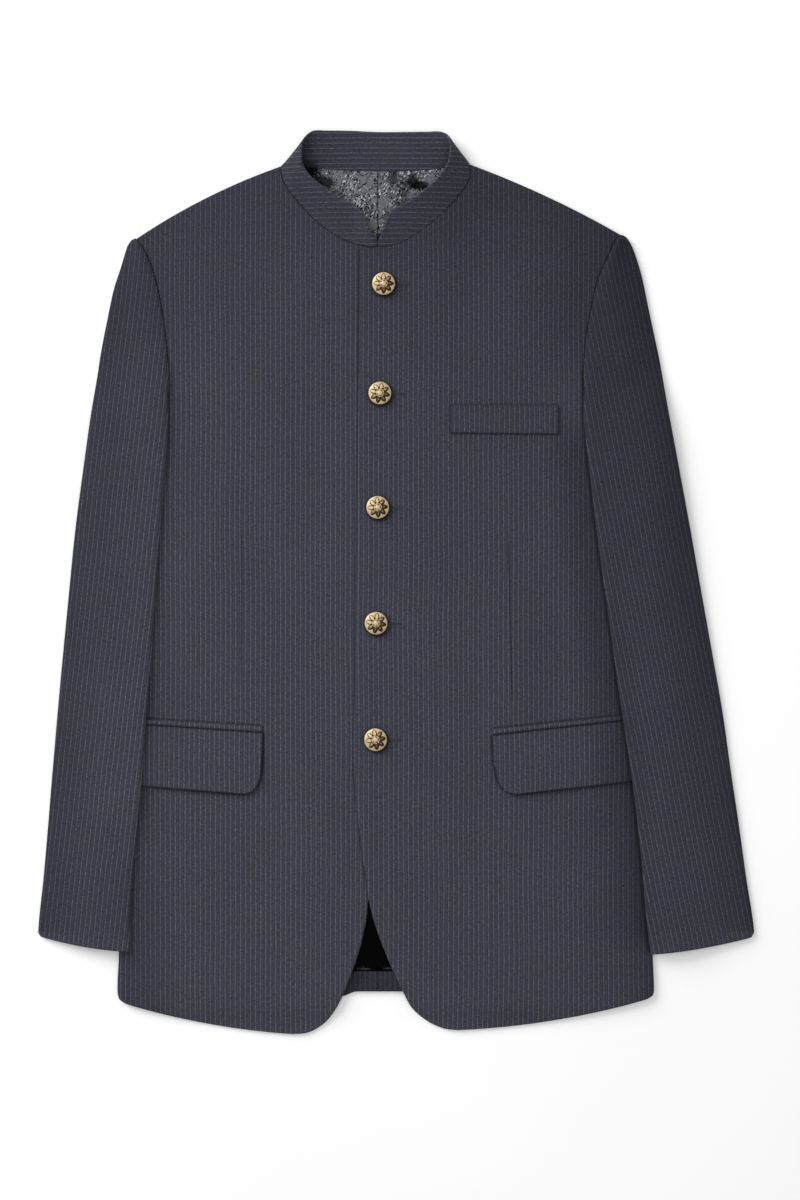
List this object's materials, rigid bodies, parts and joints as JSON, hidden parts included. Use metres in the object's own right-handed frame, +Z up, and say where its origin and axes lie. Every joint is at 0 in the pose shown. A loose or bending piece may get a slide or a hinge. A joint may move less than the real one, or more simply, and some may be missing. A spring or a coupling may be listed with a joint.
{
  "type": "jodhpuri jacket",
  "caption": "Tailored stand-collar jacket with long sleeves, buttoned front, hip flaps and a chest welt, laid flat on its back.",
  "frame": {"origin": "centre of the box of the laid-out jacket, on the surface that it rests on", "axes": "+Y from the hem to the collar, +X towards the wearer's left, +Z up from the surface"},
  "size_m": [0.6726, 0.8483, 0.016],
  "materials": {
    "back_left": "fine striped suiting",
    "back_right": "fine striped suiting",
    "button_1": "antiqued",
    "button_2": "antiqued",
    "button_3": "antiqued",
    "button_4": "antiqued",
    "button_5": "antiqued",
    "collar": "fine striped suiting",
    "flap_left": "fine striped suiting",
    "flap_right": "fine striped suiting",
    "front_left": "fine striped suiting",
    "front_right": "fine striped suiting",
    "jet_left": "fine striped suiting",
    "jet_right": "fine striped suiting",
    "lining_left": "silky jacquard lining",
    "lining_right": "silky jacquard lining",
    "sleeve_left_top": "fine striped suiting",
    "sleeve_left_under": "fine striped suiting",
    "sleeve_right_top": "fine striped suiting",
    "sleeve_right_under": "fine striped suiting",
    "welt": "fine striped suiting"
  },
  "bodies": {
    "root": {"back_left": "back_left", "back_right": "back_right", "button_1": "button_1", "button_2": "button_2", "button_3": "button_3", "button_4": "button_4", "button_5": "button_5", "collar": "collar", "flap_left": "flap_left", "flap_right": "flap_right", "front_left": "front_left", "front_right": "front_right", "jet_left": "jet_left", "jet_right": "jet_right", "lining_left": "lining_left", "lining_right": "lining_right", "sleeve_left_top": "sleeve_left_top", "sleeve_left_under": "sleeve_left_under", "sleeve_right_top": "sleeve_right_top", "sleeve_right_under": "sleeve_right_under", "welt": "welt"}
  },
  "joints": []
}
